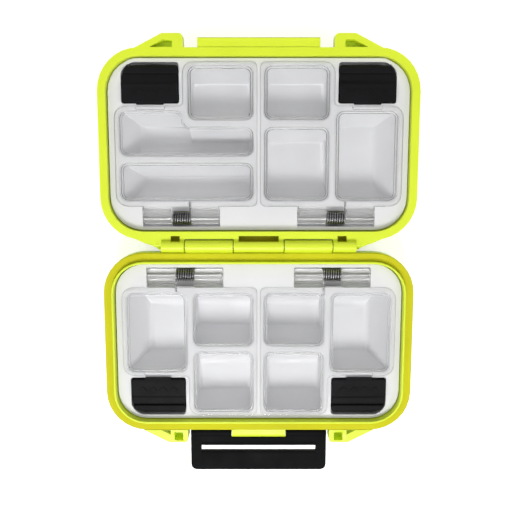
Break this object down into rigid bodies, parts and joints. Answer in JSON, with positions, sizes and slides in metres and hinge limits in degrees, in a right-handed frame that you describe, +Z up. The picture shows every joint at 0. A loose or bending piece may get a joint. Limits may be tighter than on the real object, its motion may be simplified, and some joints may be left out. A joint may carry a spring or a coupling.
{
  "type": "pocket tackle box",
  "caption": "Pocket fishing tackle box, open flat: two lime shells on one hinge, each with a white compartment tray under clear sprung covers with black push buttons, and a black front latch",
  "frame": {"origin": "Centre of the open box's footprint, on the surface that both halves rest on", "axes": "+X along the hinge line to the right of someone facing the latch, +Y from the base half towards the lid half, +Z up, out of the compartments"},
  "size_m": [0.118, 0.1678, 0.0198],
  "materials": {
    "shell": "lime yellow, satin moulded",
    "seal": "yellow rubber, matt",
    "tray": "white, smooth",
    "clear": "clear styrene, smooth",
    "black": "black, satin moulded",
    "spring_steel": "drawn wire",
    "pin_steel": "drawn rod"
  },
  "bodies": {
    "base": {"base_shell": "shell", "seal_ring": "seal", "case_hinge_pin": "pin_steel", "front_latch_pin": "pin_steel", "base_tray": "tray", "base_left_cover_pin": "pin_steel", "base_left_spring": "spring_steel", "base_right_cover_pin": "pin_steel", "base_right_spring": "spring_steel"},
    "lid": {"lid_shell": "shell", "lid_tray": "tray", "lid_left_cover_pin": "pin_steel", "lid_left_spring": "spring_steel", "lid_right_cover_pin": "pin_steel", "lid_right_spring": "spring_steel"},
    "latch": {"front_latch": "black"},
    "base_left_lid_plate": {"base_left_cover": "clear"},
    "base_left_release": {"base_left_button": "black"},
    "base_right_lid_plate": {"base_right_cover": "clear"},
    "base_right_release": {"base_right_button": "black"},
    "lid_left_lid_plate": {"lid_left_cover": "clear"},
    "lid_left_release": {"lid_left_button": "black"},
    "lid_right_lid_plate": {"lid_right_cover": "clear"},
    "lid_right_release": {"lid_right_button": "black"}
  },
  "joints": [
    {"name": "lid_hinge", "type": "hinge", "parent": "base", "child": "lid", "pos_m": [0, 0.00645, 0.0175], "axis": [-1, 0, 0], "range_deg": [-180, 0]},
    {"name": "latch_hinge", "type": "hinge", "parent": "base", "child": "latch", "pos_m": [0, -0.06865, 0.0125], "axis": [1, 0, 0], "range_deg": [-90, 0]},
    {"name": "base_left_cover_hinge", "type": "hinge", "parent": "base", "child": "base_left_lid_plate", "pos_m": [-0.02805, -0.00485, 0.0145], "axis": [-1, 0, 0], "range_deg": [0, 95]},
    {"name": "base_left_button_hinge", "type": "hinge", "parent": "base", "child": "base_left_release", "pos_m": [-0.0389, -0.04735, 0.0101], "axis": [1, 0, 0], "range_deg": [0, 9], "stiffness_Nm_per_rad": 0.02, "springref_deg": -1.15},
    {"name": "base_right_cover_hinge", "type": "hinge", "parent": "base", "child": "base_right_lid_plate", "pos_m": [0.02805, -0.00485, 0.0145], "axis": [-1, 0, 0], "range_deg": [0, 95]},
    {"name": "base_right_button_hinge", "type": "hinge", "parent": "base", "child": "base_right_release", "pos_m": [0.0389, -0.04735, 0.0101], "axis": [1, 0, 0], "range_deg": [0, 9], "stiffness_Nm_per_rad": 0.02, "springref_deg": -1.15},
    {"name": "lid_left_cover_hinge", "type": "hinge", "parent": "lid", "child": "lid_left_lid_plate", "pos_m": [-0.02915, 0.01665, 0.0133], "axis": [1, 0, 0], "range_deg": [0, 95]},
    {"name": "lid_left_button_hinge", "type": "hinge", "parent": "lid", "child": "lid_left_release", "pos_m": [-0.04, 0.06135, 0.0089], "axis": [-1, 0, 0], "range_deg": [0, 9], "stiffness_Nm_per_rad": 0.02, "springref_deg": -1.15},
    {"name": "lid_right_cover_hinge", "type": "hinge", "parent": "lid", "child": "lid_right_lid_plate", "pos_m": [0.02915, 0.01665, 0.0133], "axis": [1, 0, 0], "range_deg": [0, 95]},
    {"name": "lid_right_button_hinge", "type": "hinge", "parent": "lid", "child": "lid_right_release", "pos_m": [0.04, 0.06135, 0.0089], "axis": [-1, 0, 0], "range_deg": [0, 9], "stiffness_Nm_per_rad": 0.02, "springref_deg": -1.15}
  ]
}
